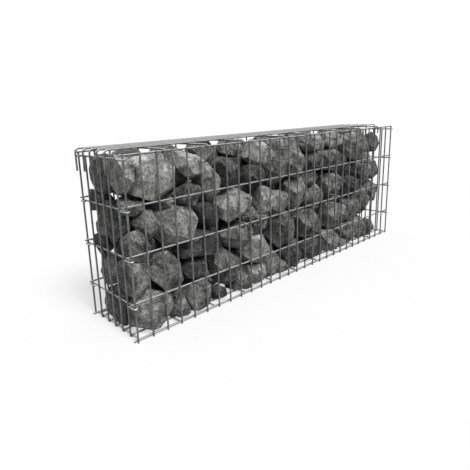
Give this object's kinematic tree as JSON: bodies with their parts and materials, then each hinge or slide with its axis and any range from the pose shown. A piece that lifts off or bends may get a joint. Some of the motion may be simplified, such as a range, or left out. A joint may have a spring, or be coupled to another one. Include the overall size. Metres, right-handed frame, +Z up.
{
  "type": "gabion wall",
  "caption": "Free-standing gabion: a welded galvanised wire mesh basket with hooked corners and lid, filled with broken quarry stone.",
  "frame": {"origin": "middle of the rectangle that the wall stands on, on the ground", "axes": "+X along the wall to its right-hand end, +Y from the front panel to the back panel, +Z up"},
  "size_m": [1.4262, 0.2616, 0.5163],
  "materials": {
    "galvanised_wire": "hot-dip galvanised drawn wire, dull zinc grey",
    "quarry_stone": "rough broken grey quarry stone"
  },
  "bodies": {
    "root": {"front_panel": "galvanised_wire", "back_panel": "galvanised_wire", "left_end_panel": "galvanised_wire", "right_end_panel": "galvanised_wire", "base_panel": "galvanised_wire", "lid_panel": "galvanised_wire", "left_tie_wire": "galvanised_wire", "right_tie_wire": "galvanised_wire", "front_stones_1_left": "quarry_stone", "front_stones_1_right": "quarry_stone", "front_stones_2_left": "quarry_stone", "front_stones_2_right": "quarry_stone", "front_stones_3_left": "quarry_stone", "front_stones_3_right": "quarry_stone", "front_stones_4_left": "quarry_stone", "front_stones_4_right": "quarry_stone", "back_stones_1_left": "quarry_stone", "back_stones_1_right": "quarry_stone", "back_stones_2_left": "quarry_stone", "back_stones_2_right": "quarry_stone", "back_stones_3_left": "quarry_stone", "back_stones_3_right": "quarry_stone", "back_stones_4_left": "quarry_stone", "back_stones_4_right": "quarry_stone"}
  },
  "joints": []
}
